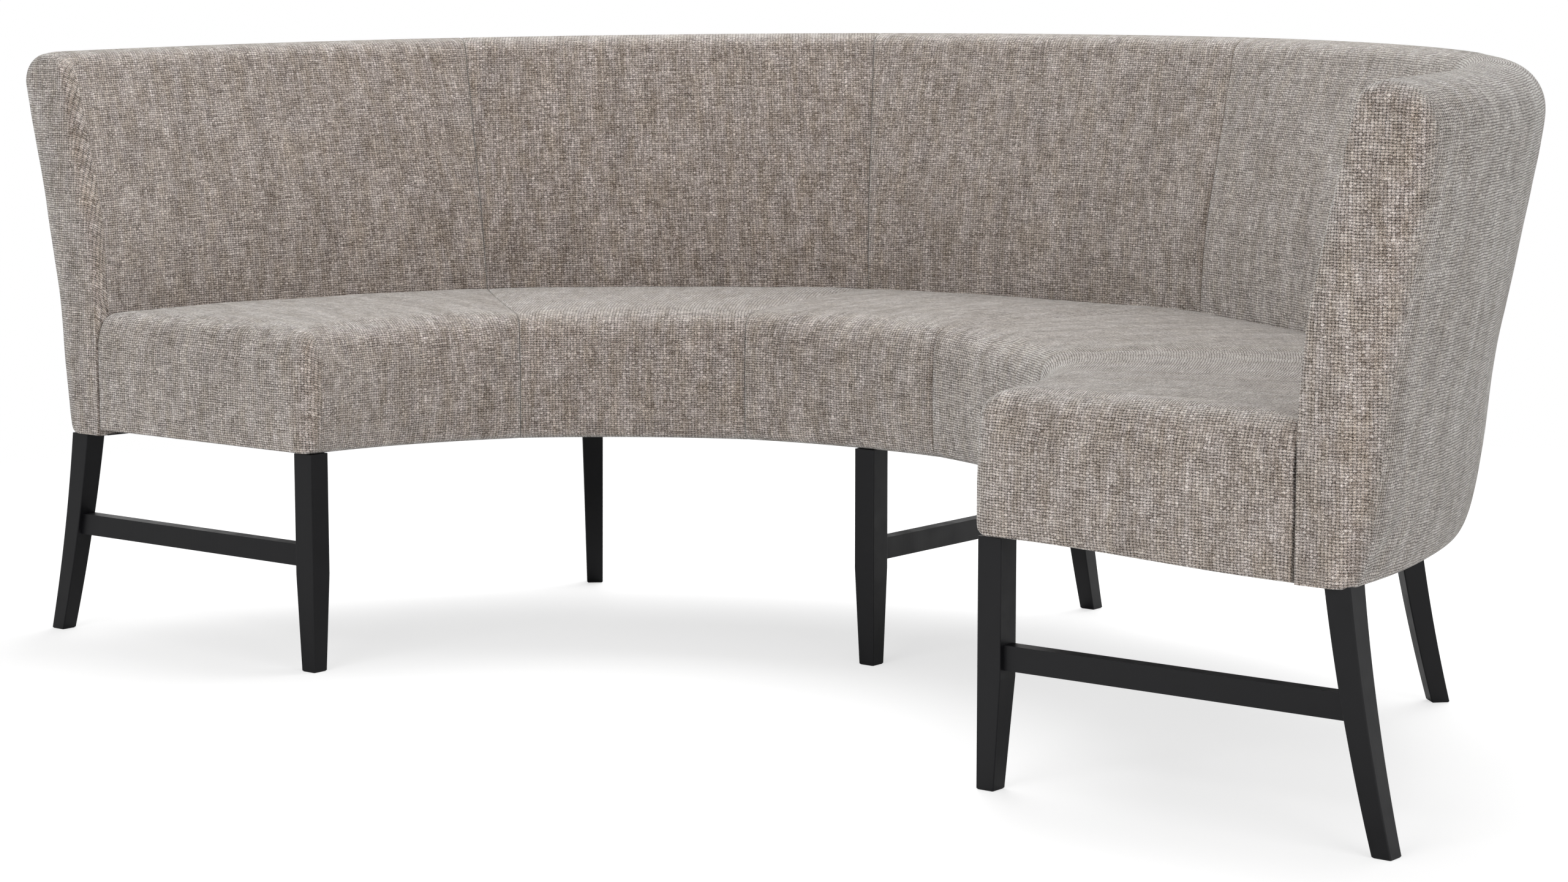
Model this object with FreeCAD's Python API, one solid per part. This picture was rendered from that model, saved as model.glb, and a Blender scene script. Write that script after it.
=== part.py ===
import FreeCAD, Part
import math
import os

# Half round upholstered dining bench on eight wooden legs. Lengths are in millimetres.
# The row frame has +X along the two ends, +Y towards the middle of the back and +Z up.
# Places on the ring are a radius and an angle from +Y, positive towards +X. The ring's own
# centre lies on the plane of the two end faces.

# Ring of the seat and the back
front_radius_end = 549.0
front_radius_middle = 524.0
back_inner_radius = 980.0
back_outer_radius = 1068.0
seat_to_back_gap = 0.5
panel_angle = 34.5
panel_count = 5
facet_share = 0.25

# Heights
seat_underside = 302.0
back_underside = 294.0
seat_height_end = 472.0
seat_arch = 9.0
back_height_end = 839.0
back_arch = 22.0

# Lean of the back's two faces: upright, then bent about a height, then straight outwards
inner_lean_angle = 13.5
inner_bend_height = 540.0
inner_bend_radius = 850.0
outer_lean_angle = 10.8
outer_bend_height = 445.0
outer_bend_radius = 1090.0

# Soft shape of the seat and the back
seat_front_round = 30.0
seat_bottom_round = 16.0
seat_rear_round = 16.0
seat_crown = 5.0
front_bulge = 3.0
seat_puff = 4.0
front_puff = 3.0
back_inner_top_round = 26.0
back_outer_top_round = 40.0
back_bottom_round = 30.0
fold_to_bend = 2.0
back_top_crown = 2.0
back_puff = 3.0
back_top_puff = 3.0
end_round = 18.0

# Fabric, foam and the clearance round soft pieces
cover_thickness = 1.5
soft_clearance = 0.3
front_foam = 15.0
end_foam = 15.0
back_foam = 25.0
outer_foam = 14.0
top_foam = 32.0
seat_hem_height = 400.0
back_hem_height = 405.0
turned_edge = 3.0
end_hem = 16.0
cloth_thickness = 1.5

# Timber frame
deck_top = 415.0
deck_thickness = 12.0
front_rail_width = 45.0
rear_rail_width = 25.0
rib_thickness = 12.0
post_thickness = 38.0
board_thickness = 4.0
top_rail_height = 25.0
bottom_rail_set_back = 20.0
bottom_rail_height = 45.0
frame_clearance = 0.3

# Legs and stretchers
leg_size = 33.0
foot_size = 24.5
front_leg_taper_height = 135.0
front_leg_end_inset = 25.0
front_leg_end_set_back = 22.0
front_leg_middle_set_back = 16.5
back_leg_set_in = 38.5
back_leg_side_angle = 43.0
back_leg_splay = 61.5
bow_share = 0.33
leg_edge_round = 1.5
stretcher_height = 30.0
stretcher_thickness = 20.0
stretcher_low_edge = 145.0
stretcher_set_back = 7.5

# Fastenings
bolt_diameter = 8.0
bolt_reach = 42.0
bolt_frame_offset = 6.0
bolt_clearance = 0.2
joint_bolt_length = 80.0
joint_bolt_height = 345.0
joint_bolt_offset = 12.5
joint_bolt_head_diameter = 12.0
joint_bolt_head_thickness = 5.0
dowel_diameter = 8.0
dowel_length = 36.0
dowel_spacing = 15.0
dowel_clearance = 0.1
cut_overrun = 10.0

half_turn = 180.0
quarter_turn = 90.0
half_panel = panel_angle / 2
seam_angles = [(i - panel_count / 2 + 1) * panel_angle for i in range(panel_count - 1)]
panel_limits = list(zip([-quarter_turn] + seam_angles, seam_angles + [quarter_turn]))
station_shares = [0, 0.25, 0.5, 0.75, 1]
inner_lean = (inner_lean_angle, inner_bend_height, inner_bend_radius)
outer_lean = (outer_lean_angle, outer_bend_height, outer_bend_radius)
front_leg_end_radius = front_radius_end + front_leg_end_set_back
front_leg_middle_radius = front_radius_middle + front_leg_middle_set_back
back_leg_top_radius = back_outer_radius - back_leg_set_in
vertical = FreeCAD.Vector(0, 0, 1)
os.makedirs("parts", exist_ok=True)


# Shape of the ring at an angle
def panel_of(angle):
    inner = [i for i, seam in enumerate(seam_angles) if angle > seam]
    return len(inner)


def swell(angle):
    """0 at the two sides of a panel and 1 at its middle."""
    low, high = panel_limits[panel_of(angle)]
    return math.sin(math.pi * (angle - low) / (high - low))


def flatten(angle):
    """How far the softly faceted plan draws in towards each panel's middle."""
    low, high = panel_limits[panel_of(angle)]
    half_width = math.radians((high - low) / 2)
    off_middle = math.radians(angle - (low + high) / 2)
    return 1 - facet_share * (1 - math.cos(half_width) / math.cos(off_middle))


def arch(angle):
    return max(0.0, math.cos(math.radians(angle)))


def front_radius(angle):
    radius = front_radius_end + (front_radius_middle - front_radius_end) * arch(angle) ** 2
    return radius * flatten(angle)


def back_radius(angle):
    return back_inner_radius * flatten(angle) - back_puff * swell(angle)


def seat_height(angle):
    return seat_height_end + seat_arch * arch(angle)


def back_height(angle):
    return back_height_end + back_arch * arch(angle)


# Wires and lofts
def wire(moves, angle, end_distance=0.0):
    """Closed wire in an upright plane: a move is (r, z), or (r, z, r, z) for an arc."""
    points = [FreeCAD.Vector(m[-2], 0, m[-1]) for m in moves]
    edges = []
    for i, move in enumerate(moves):
        before = points[i - 1]
        if len(move) == 4:
            through = FreeCAD.Vector(move[0], 0, move[1])
            edges.append(Part.Arc(before, through, points[i]).toShape())
        else:
            edges.append(Part.LineSegment(before, points[i]).toShape())
    shape = Part.Wire(edges)
    shape.rotate(FreeCAD.Vector(0, 0, 0), vertical, quarter_turn - angle)
    shape.translate(FreeCAD.Vector(0, end_distance, 0))
    return shape


def corner(centre_r, centre_z, radius, degrees):
    turn = math.radians(degrees)
    return centre_r + radius * math.cos(turn), centre_z + radius * math.sin(turn)


def stations(low, high, start_distance):
    """Angle and distance from the end plane of each section of one panel."""
    places = []
    for share in station_shares:
        angle = low + (high - low) * share
        on_end = abs(abs(angle) - quarter_turn) < half_panel / 100
        places.append((angle, start_distance if on_end else 0.0))
    return places


def ring_loft(outline, low, high, start_distance=0.0):
    """Solid through one outline at each station from low to high."""
    wires = [wire(outline(a), a, d) for a, d in stations(low, high, start_distance)]
    return Part.makeLoft(wires, True, False)


def soft_panel(outline, index, inset):
    """Loft of a soft outline over a panel, rounded where the panel ends the bench."""
    low, high = panel_limits[index]
    body = ring_loft(lambda a: outline(a, inset, 0.0), low, high, end_round)
    for end in (low, high):
        if abs(end) < quarter_turn:
            continue
        rings = []
        for share in station_shares:
            turn = math.radians(share * quarter_turn)
            round_left = end_round - inset
            distance = end_round - round_left * math.sin(turn)
            shrink = round_left * (1 - math.cos(turn))
            rings.append(wire(outline(end, inset, shrink), end, distance))
        body = body.fuse(Part.makeLoft(rings, True, True))
    return body


# Outlines of the seat
def seat_outline(angle, inset, shrink):
    draw = inset + shrink
    front = front_radius(angle) - front_puff * swell(angle) + draw
    rear = back_radius(angle) - seat_to_back_gap - draw
    top = seat_height(angle) + seat_puff * swell(angle) - draw
    bottom = seat_underside + draw
    front_round = seat_front_round - inset - shrink / 2
    bottom_round = seat_bottom_round - inset - shrink / 2
    rear_round = seat_rear_round - inset - shrink / 2
    middle = (front + rear) / 2
    return [
        (rear, bottom),
        (front + bottom_round, bottom),
        corner(front + bottom_round, bottom + bottom_round, bottom_round, 225)
        + (front, bottom + bottom_round),
        (front - front_bulge, (bottom + top) / 2, front, top - front_round),
        corner(front + front_round, top - front_round, front_round, 135)
        + (front + front_round, top),
        (middle, top + seat_crown, rear - rear_round, top),
        corner(rear - rear_round, top - rear_round, rear_round, 45)
        + (rear, top - rear_round),
    ]


# Outlines of the back
def lean_out(lean, z):
    """How far a leaning face has moved outwards at a height on its straight upper part."""
    angle, height, _ = lean
    return (z - height) * math.tan(math.radians(angle))


def bend(lean, foot):
    """Start, middle and end points of a leaning face's bend, from the radius of its foot."""
    angle, height, radius = lean
    half = math.radians(angle) / 2
    tangent = radius * math.tan(half)
    start = (foot, height - tangent)
    middle = (foot + radius * (1 - math.cos(half)), start[1] + radius * math.sin(half))
    end = (foot + tangent * math.sin(2 * half), height + tangent * math.cos(2 * half))
    return start, middle, end


def fold_top():
    """Height at which the fold to the back's underside ends, just below the outer bend."""
    return bend(outer_lean, back_outer_radius)[0][1] - fold_to_bend


def back_outline(angle, inset, shrink):
    draw = inset + shrink
    inner = back_radius(angle) + draw
    outer = back_outer_radius - draw
    top = back_height(angle) + back_top_puff * swell(angle) - draw
    bottom = back_underside + draw
    inner_round = back_inner_top_round - inset - shrink / 2
    outer_round = back_outer_top_round - inset - shrink / 2
    fold = back_bottom_round - draw
    rise = fold_top() - bottom
    inner_z = top - inner_round
    inner_slant = math.cos(math.radians(inner_lean_angle))
    inner_r = inner + lean_out(inner_lean, inner_z) + inner_round / inner_slant
    outer_z = top - outer_round
    outer_slant = math.cos(math.radians(outer_lean_angle))
    outer_r = outer + lean_out(outer_lean, outer_z) - outer_round / outer_slant
    inner_start, inner_middle, inner_end = bend(inner_lean, inner)
    outer_start, outer_middle, outer_end = bend(outer_lean, outer)
    inner_turn = half_turn - inner_lean_angle
    return [
        (inner, bottom),
        inner_start,
        inner_middle + inner_end,
        corner(inner_r, inner_z, inner_round, inner_turn),
        corner(inner_r, inner_z, inner_round, (inner_turn + quarter_turn) / 2) + (inner_r, top),
        ((inner_r + outer_r) / 2, top + back_top_crown, outer_r, top),
        corner(outer_r, outer_z, outer_round, (quarter_turn - outer_lean_angle) / 2)
        + corner(outer_r, outer_z, outer_round, -outer_lean_angle),
        outer_end,
        outer_middle + outer_start,
        (outer, bottom + rise),
        (outer - fold * (1 - math.sqrt(1 / 2)), bottom + rise * (1 - math.sqrt(1 / 2)),
         outer - fold, bottom),
    ]


def leaning_board(inner, outer, low_z, high_z, inner_face=inner_lean, outer_face=outer_lean):
    """Outline of a board or layer between two leaning faces, from its foot up and back."""
    inner_start, inner_middle, inner_end = bend(inner_face, inner)
    outer_start, outer_middle, outer_end = bend(outer_face, outer)
    return [
        (inner, low_z),
        inner_start,
        inner_middle + inner_end,
        (inner + lean_out(inner_face, high_z), high_z),
        (outer + lean_out(outer_face, high_z), high_z),
        outer_end,
        outer_middle + outer_start,
        (outer, low_z),
    ]


def box_outline(inner, outer, low_z, high_z):
    return [(inner, low_z), (outer, low_z), (outer, high_z), (inner, high_z)]


# Layers of the back, as radii at the foot of the leaning faces
def frame_inner(angle):
    return back_radius(angle) + cover_thickness + back_foam


def frame_outer(angle):
    return back_outer_radius - cover_thickness - outer_foam


def frame_top(angle):
    return back_height(angle) - cover_thickness - top_foam


def foot_inner(angle):
    return back_radius(angle) + soft_clearance


def cylinder(radius, start, direction, length):
    return Part.makeCylinder(radius, length, start, direction)


def end_slab(distance):
    """Everything in front of a plane that far behind the end faces."""
    reach = back_outer_radius + back_height_end
    slab = Part.makeBox(2 * reach, cut_overrun + distance, 2 * back_height_end)
    slab.translate(FreeCAD.Vector(-reach, -cut_overrun, -cut_overrun))
    return slab


# Legs
def splay_at(splay, height, z):
    """How far a leg has moved outwards at z: it bows, so most of it is near the foot."""
    down = 1 - z / height
    return splay * ((1 - bow_share) * down + bow_share * down ** 2)


def leg_section(splay, height, z, draw_in):
    """Rounded rectangle across a leg, with both tapered sides drawn in below the taper."""
    taper_from = height if splay else front_leg_taper_height
    thin = (leg_size - foot_size) * max(0.0, 1 - z / taper_from)
    half = leg_size / 2
    middle = splay_at(splay, height, z)
    inner = middle - half + draw_in + (thin / 2 if splay else 0)
    outer = middle + half - draw_in - (thin / 2 if splay else thin)
    low = draw_in - half
    high = half - draw_in - thin
    r = leg_edge_round
    slack = r * (1 - math.sqrt(0.5))
    path = [
        (inner, low + r), (inner, high - r),
        (inner + slack, high - slack, inner + r, high), (outer - r, high),
        (outer - slack, high - slack, outer, high - r), (outer, low + r),
        (outer - slack, low + slack, outer - r, low), (inner + r, low),
        (inner + slack, low + slack, inner, low + r),
    ]
    points = [FreeCAD.Vector(p[-2], p[-1], z) for p in path]
    edges = []
    for before, point, move in zip(points, points[1:], path[1:]):
        if len(move) == 4:
            through = FreeCAD.Vector(move[0], move[1], z)
            edges.append(Part.Arc(before, through, point).toShape())
        else:
            edges.append(Part.LineSegment(before, point).toShape())
    return Part.Wire(edges)


def leg(splay, height, mirrored):
    """Leg with its top centre over the origin; +X is outwards and +Y the tapered side."""
    chamfer = [leg_section(splay, height, 0, leg_edge_round),
               leg_section(splay, height, leg_edge_round, 0)]
    if splay:
        heights = [leg_edge_round + (height - leg_edge_round) * share for share in station_shares]
        upper = [leg_section(splay, height, z, 0) for z in heights]
        shape = Part.makeLoft(upper, True, False).fuse(Part.makeLoft(chamfer, True, True))
    else:
        upper = [leg_section(splay, height, z, 0) for z in (front_leg_taper_height, height)]
        shape = Part.makeLoft(chamfer + upper, True, True)
    if mirrored:
        shape = shape.mirror(FreeCAD.Vector(0, 0, 0), FreeCAD.Vector(0, 1, 0))
    return shape


def placed(shape, radius_x, radius_y, heading):
    shape = shape.copy()
    shape.rotate(FreeCAD.Vector(0, 0, 0), vertical, heading)
    shape.translate(FreeCAD.Vector(radius_x, radius_y, 0))
    return shape


side_x = back_leg_top_radius * math.sin(math.radians(back_leg_side_angle))
side_y = back_leg_top_radius * math.cos(math.radians(back_leg_side_angle))
side_heading = quarter_turn - back_leg_side_angle
inset_y = front_leg_end_inset
# Each leg: x and y of its top centre, heading of its outward side, mirrored, back leg
leg_places = {
    "leg_front_left": (-front_leg_end_radius, inset_y, half_turn, True, False),
    "leg_front_middle": (0, front_leg_middle_radius, quarter_turn, False, False),
    "leg_front_right": (front_leg_end_radius, inset_y, 0, False, False),
    "leg_end_left": (-back_leg_top_radius, inset_y, half_turn, True, True),
    "leg_end_right": (back_leg_top_radius, inset_y, 0, False, True),
    "leg_back_left": (-side_x, side_y, half_turn - side_heading, False, True),
    "leg_back_middle": (0, back_leg_top_radius, quarter_turn, False, True),
    "leg_back_right": (side_x, side_y, side_heading, True, True),
}
stretcher_ends = {
    "stretcher_left": ("leg_front_left", "leg_end_left"),
    "stretcher_middle": ("leg_front_middle", "leg_back_middle"),
    "stretcher_right": ("leg_front_right", "leg_end_right"),
}


def make_leg(name):
    x, y, heading, mirrored, back = leg_places[name]
    height = back_underside if back else seat_underside
    shape = leg(back_leg_splay if back else 0, height, mirrored)
    return placed(shape, x, y, heading)


def make_stretcher(name):
    front, back = stretcher_ends[name]
    x, y, heading, mirrored, _ = leg_places[front]
    far_x, far_y = leg_places[back][:2]
    length = math.hypot(far_x - x, far_y - y) + back_leg_splay / 2
    bar = Part.makeBox(length, stretcher_thickness, stretcher_height)
    bar.translate(FreeCAD.Vector(0, stretcher_set_back - leg_size / 2, stretcher_low_edge))
    if mirrored:
        bar = bar.mirror(FreeCAD.Vector(0, 0, 0), FreeCAD.Vector(0, 1, 0))
    return placed(bar, x, y, heading)


def dowels(name, radius):
    """Two dowels in each end of a stretcher, centred on the faces of its two legs."""
    front, back = stretcher_ends[name]
    x, y, heading, mirrored, _ = leg_places[front]
    far_x, far_y = leg_places[back][:2]
    run = math.hypot(far_x - x, far_y - y)
    middle = stretcher_low_edge + stretcher_height / 2
    side = stretcher_set_back - leg_size / 2 + stretcher_thickness / 2
    thin = (leg_size - foot_size) * (1 - middle / back_underside)
    back_face = run + splay_at(back_leg_splay, back_underside, middle) - (leg_size - thin) / 2
    pins = []
    for face in (leg_size / 2, back_face):
        for z in (middle - dowel_spacing / 2, middle + dowel_spacing / 2):
            start = FreeCAD.Vector(face - dowel_length / 2, -side if mirrored else side, z)
            pin = cylinder(radius, start, FreeCAD.Vector(1, 0, 0), dowel_length)
            pins.append(placed(pin, x, y, heading))
    return pins


def leg_bolt(name, radius):
    x, y, heading, _, back = leg_places[name]
    top = back_underside if back else seat_underside
    offset = 0 if back else bolt_frame_offset
    start = FreeCAD.Vector(offset, 0, top - bolt_reach)
    return placed(cylinder(radius, start, vertical, 2 * bolt_reach), x, y, heading)


leg_bolts = [leg_bolt(name, bolt_diameter / 2) for name in leg_places]
leg_bolt_holes = [leg_bolt(name, bolt_diameter / 2 + bolt_clearance) for name in leg_places]
dowel_pins = []
dowel_holes = []
for stretcher_name in stretcher_ends:
    dowel_pins += dowels(stretcher_name, dowel_diameter / 2)
    dowel_holes += dowels(stretcher_name, dowel_diameter / 2 + dowel_clearance)

# Posts and ribs stand at the seams and just inside the end faces
post_inset = cover_thickness + end_foam + frame_clearance + post_thickness / 2
frame_angles = [-quarter_turn] + seam_angles + [quarter_turn]


def board_reach(radius_at, angle, thickness):
    """Shortest way out along a radial board to a curved face, over the board's thickness."""
    middle = post_inset if abs(angle) >= quarter_turn else 0
    side = math.copysign(1, angle)
    reach = []
    for y in (middle - thickness / 2, middle + thickness / 2):
        turn = math.degrees(y / radius_at(angle))
        reach.append(math.sqrt(radius_at(angle - side * turn) ** 2 - y ** 2))
    return min(reach)


def radial_board(moves, angle, thickness):
    """Upright board of an outline, centred on a seam or just inside an end."""
    on_end = abs(angle) >= quarter_turn
    face = Part.Face(wire(moves, quarter_turn))
    board = face.extrude(FreeCAD.Vector(0, thickness, 0))
    board.translate(FreeCAD.Vector(0, -thickness / 2, 0))
    board.rotate(FreeCAD.Vector(0, 0, 0), vertical, quarter_turn - angle)
    if on_end:
        board.translate(FreeCAD.Vector(0, post_inset, 0))
    return board


def joint_bolt(angle, side, radius, head_radius, head_thickness):
    """Bolt from inside the rear rail into the foot of a post."""
    head = back_radius(angle) - seat_to_back_gap - soft_clearance - cover_thickness
    head -= rear_rail_width
    along = FreeCAD.Vector(1, 0, 0)
    start = FreeCAD.Vector(head, side * joint_bolt_offset, joint_bolt_height)
    shaft = cylinder(radius, start, along, joint_bolt_length)
    start = FreeCAD.Vector(head - head_thickness, side * joint_bolt_offset, joint_bolt_height)
    shape = shaft.fuse(cylinder(head_radius, start, along, head_thickness))
    shape.rotate(FreeCAD.Vector(0, 0, 0), vertical, quarter_turn - angle)
    if abs(angle) >= quarter_turn:
        shape.translate(FreeCAD.Vector(0, post_inset, 0))
    return shape


joint_bolts = []
joint_bolt_holes = []
for frame_angle in frame_angles:
    for side in (-1, 1):
        joint_bolts.append(joint_bolt(frame_angle, side, bolt_diameter / 2,
                                      joint_bolt_head_diameter / 2, joint_bolt_head_thickness))
        joint_bolt_holes.append(joint_bolt(frame_angle, side, bolt_diameter / 2 + bolt_clearance,
                                           joint_bolt_head_diameter / 2 + bolt_clearance,
                                           joint_bolt_head_thickness))


def cut_all(shape, tools):
    box = shape.BoundBox
    near = [tool for tool in tools if box.intersect(tool.BoundBox)]
    return shape.cut(near) if near else shape


def largest(shape):
    return max(shape.Solids, key=lambda solid: solid.Volume)


# Frame of the seat
frame_bottom = seat_underside + cloth_thickness + frame_clearance
deck_bottom = deck_top - deck_thickness


def rail_front(angle):
    return front_radius(angle) + cover_thickness + front_foam + soft_clearance


def rail_rear(angle):
    return back_radius(angle) - seat_to_back_gap - soft_clearance - cover_thickness


def rail_rear_inner(angle):
    return rail_rear(angle) - rear_rail_width


end_cut = end_slab(cover_thickness + end_foam + frame_clearance)


def frame_ring(outline, index):
    low, high = panel_limits[index]
    return ring_loft(outline, low, high).cut(end_cut)


def front_rail_outline(angle):
    inner = rail_front(angle)
    return box_outline(inner, inner + front_rail_width, frame_bottom, deck_bottom)


def rear_rail_outline(angle):
    return box_outline(rail_rear_inner(angle), rail_rear(angle), frame_bottom, deck_bottom)


def deck_outline(angle):
    return box_outline(rail_front(angle), rail_rear(angle), deck_bottom, deck_top)


def rib_moves(angle):
    inner = rail_front(angle) + front_rail_width + frame_clearance
    outer = board_reach(rail_rear_inner, angle, rib_thickness) - frame_clearance
    return box_outline(inner, outer, frame_bottom, deck_bottom)


# Frame of the back
back_frame_bottom = back_underside + cloth_thickness + frame_clearance
bottom_rail_outer = back_outer_radius - back_bottom_round - soft_clearance
outer_board_low = fold_top()


def outer_board_inner(angle):
    return frame_outer(angle) - board_thickness


def post_moves(angle):
    """Post with a wide foot that meets the rear rail below the seat."""
    inner = frame_inner(angle) + board_thickness + frame_clearance
    outer = board_reach(outer_board_inner, angle, post_thickness) - frame_clearance
    turn = math.degrees(post_thickness / 2 / back_inner_radius)
    top = min(frame_top(angle - turn), frame_top(angle + turn)) - top_rail_height
    board = leaning_board(inner, outer, back_frame_bottom, top)[1:-1]
    shoulder = back_hem_height - cut_overrun / 2
    foot = foot_inner(angle) - seat_to_back_gap
    heel = [(outer, outer_board_low), (bottom_rail_outer, back_frame_bottom)]
    return [(foot, back_frame_bottom), (foot, shoulder), (inner, shoulder)] + board + heel


def bottom_rail_outline(angle):
    inner = (back_inner_radius + bottom_rail_set_back) * flatten(angle)
    high = back_frame_bottom + bottom_rail_height
    return box_outline(inner, bottom_rail_outer, back_frame_bottom, high)


def top_rail_outline(angle):
    high = frame_top(angle)
    low = high - top_rail_height
    inner = frame_inner(angle) + board_thickness + frame_clearance
    outer = outer_board_inner(angle) - frame_clearance
    return [(inner + lean_out(inner_lean, low), low), (outer + lean_out(outer_lean, low), low),
            (outer + lean_out(outer_lean, high), high), (inner + lean_out(inner_lean, high), high)]


def inner_board_outline(angle):
    inner = frame_inner(angle)
    return leaning_board(inner, inner + board_thickness, back_hem_height, frame_top(angle),
                         inner_lean, inner_lean)


def outer_board_outline(angle):
    return leaning_board(outer_board_inner(angle), frame_outer(angle), outer_board_low,
                         frame_top(angle), outer_lean, outer_lean)


# Space inside the soft pieces
def seat_core(angle):
    """Room for the frame under the seat foam."""
    front = rail_front(angle) - soft_clearance
    rear = back_radius(angle) + cut_overrun
    return box_outline(front, rear, seat_underside - cut_overrun, deck_top + soft_clearance)


def seat_hem(angle):
    """Where the seat cover's turned under front edge ends."""
    return front_radius(angle) + seat_bottom_round + turned_edge


def seat_opening(angle):
    """Open underside and lower rear of the seat cover, inside its turned front edge."""
    front = seat_hem(angle)
    inner = back_radius(angle) - 2 * cut_overrun
    rear = back_radius(angle) + cut_overrun
    low = seat_underside - cut_overrun
    skin = seat_underside + 2 * cover_thickness
    return [(front, low), (rear, low), (rear, seat_hem_height), (inner, seat_hem_height),
            (inner, skin), (front, skin)]


def back_core(angle):
    """Room for the frame inside the back foam; the posts' feet pass under its hem."""
    inner = frame_inner(angle) - soft_clearance
    outer = frame_outer(angle) + soft_clearance
    open_inner = back_radius(angle) - cut_overrun
    low = back_underside - cut_overrun
    board = leaning_board(inner, outer, low, frame_top(angle) + soft_clearance)
    return [(open_inner, low), (open_inner, back_hem_height), (inner, back_hem_height)] + board[1:]


back_hem = back_outer_radius - back_bottom_round - turned_edge


def back_opening(angle):
    """Open underside and lower inner side of the back cover, inside its turned outer edge."""
    inner = back_radius(angle) - cut_overrun
    outer = back_hem
    low = back_underside - cut_overrun
    return [(inner, low), (outer, low), (outer, back_underside + 2 * cover_thickness),
            (inner + 2 * cut_overrun, back_underside + 2 * cover_thickness),
            (inner + 2 * cut_overrun, back_hem_height), (inner, back_hem_height)]


def span(outline, index, end_distance):
    """Loft over a whole panel that stops short of an end face by a distance."""
    low, high = panel_limits[index]
    shape = ring_loft(outline, low, high)
    if abs(low) >= quarter_turn or abs(high) >= quarter_turn:
        shape = shape.cut(end_slab(end_distance))
    return shape


def make_seat_cover(index):
    shell = soft_panel(seat_outline, index, 0.0).cut(soft_panel(seat_outline, index, cover_thickness))
    return shell.cut(span(seat_opening, index, end_hem))


def make_seat_foam(index):
    body = soft_panel(seat_outline, index, cover_thickness + soft_clearance)
    return body.cut(span(seat_core, index, cover_thickness + end_foam))


def make_back_cover(index):
    shell = soft_panel(back_outline, index, 0.0).cut(soft_panel(back_outline, index, cover_thickness))
    return shell.cut(span(back_opening, index, end_hem))


def make_back_foam(index):
    body = soft_panel(back_outline, index, cover_thickness + soft_clearance)
    return body.cut(span(back_core, index, cover_thickness + end_foam))


def seat_cloth_outline(angle):
    inner = seat_hem(angle) + soft_clearance
    return box_outline(inner, rail_rear(angle), seat_underside, seat_underside + cloth_thickness)


def back_cloth_outline(angle):
    high = back_underside + cloth_thickness
    return box_outline(foot_inner(angle), back_hem - soft_clearance, back_underside, high)


# Everything moves back by half the depth, so the origin is the middle of the floor area
top_round_z = back_height(0) + back_top_puff * swell(0) - back_outer_top_round
round_loss = back_outer_top_round * (1 / math.cos(math.radians(outer_lean_angle)) - 1)
bench_depth = back_outer_radius + lean_out(outer_lean, top_round_z) - round_loss


def save(name, shapes):
    shapes = shapes if isinstance(shapes, list) else [shapes]
    solids = [solid for shape in shapes for solid in shape.Solids]
    shape = solids[0] if len(solids) == 1 else Part.makeCompound(solids)
    shape.translate(FreeCAD.Vector(0, -bench_depth / 2, 0))
    shape.exportStep("parts/" + name + ".step")
    print(name, len(solids), round(shape.Volume / 1000), "cm3", shape.isValid())


# Legs, stretchers and their fastenings
legs = {name: make_leg(name) for name in leg_places}
for name, shape in legs.items():
    save(name, cut_all(shape, leg_bolt_holes + dowel_holes))
for name, (front, back) in stretcher_ends.items():
    bar = largest(make_stretcher(name).cut([legs[front], legs[back]]))
    save(name, cut_all(bar, dowel_holes))
save("stretcher_dowels", dowel_pins)
save("leg_bolts", leg_bolts)
save("back_joint_bolts", joint_bolts)

# Seat frame
panels = range(panel_count)
holes = leg_bolt_holes + joint_bolt_holes
save("seat_front_rails", [cut_all(frame_ring(front_rail_outline, i), holes) for i in panels])
save("seat_rear_rails", [cut_all(frame_ring(rear_rail_outline, i), holes) for i in panels])
for i in panels:
    save("seat_deck_%d" % (i + 1), frame_ring(deck_outline, i))
for i, angle in enumerate(frame_angles):
    save("seat_rib_%d" % (i + 1), radial_board(rib_moves(angle), angle, rib_thickness))

# Back frame
posts = [radial_board(post_moves(angle), angle, post_thickness) for angle in frame_angles]
for i, post in enumerate(posts):
    save("back_post_%d" % (i + 1), cut_all(post, holes))
save("back_bottom_rails",
     [cut_all(largest(frame_ring(bottom_rail_outline, i).cut(posts)), holes) for i in panels])
save("back_top_rails", [frame_ring(top_rail_outline, i) for i in panels])
save("back_inner_boards", [frame_ring(inner_board_outline, i) for i in panels])
save("back_outer_boards", [frame_ring(outer_board_outline, i) for i in panels])

# Foam and covers
for i in panels:
    save("seat_foam_%d" % (i + 1), make_seat_foam(i))
    save("seat_cover_%d" % (i + 1), cut_all(make_seat_cover(i), holes))
    save("back_foam_%d" % (i + 1), make_back_foam(i))
    save("back_cover_%d" % (i + 1), cut_all(make_back_cover(i), holes))
save("seat_bottom_cloth",
     [cut_all(frame_ring(seat_cloth_outline, i), holes) for i in panels])
save("back_bottom_cloth",
     [cut_all(frame_ring(back_cloth_outline, i), holes) for i in panels])
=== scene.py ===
import math

import bmesh
import bpy
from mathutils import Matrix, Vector, noise


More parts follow.
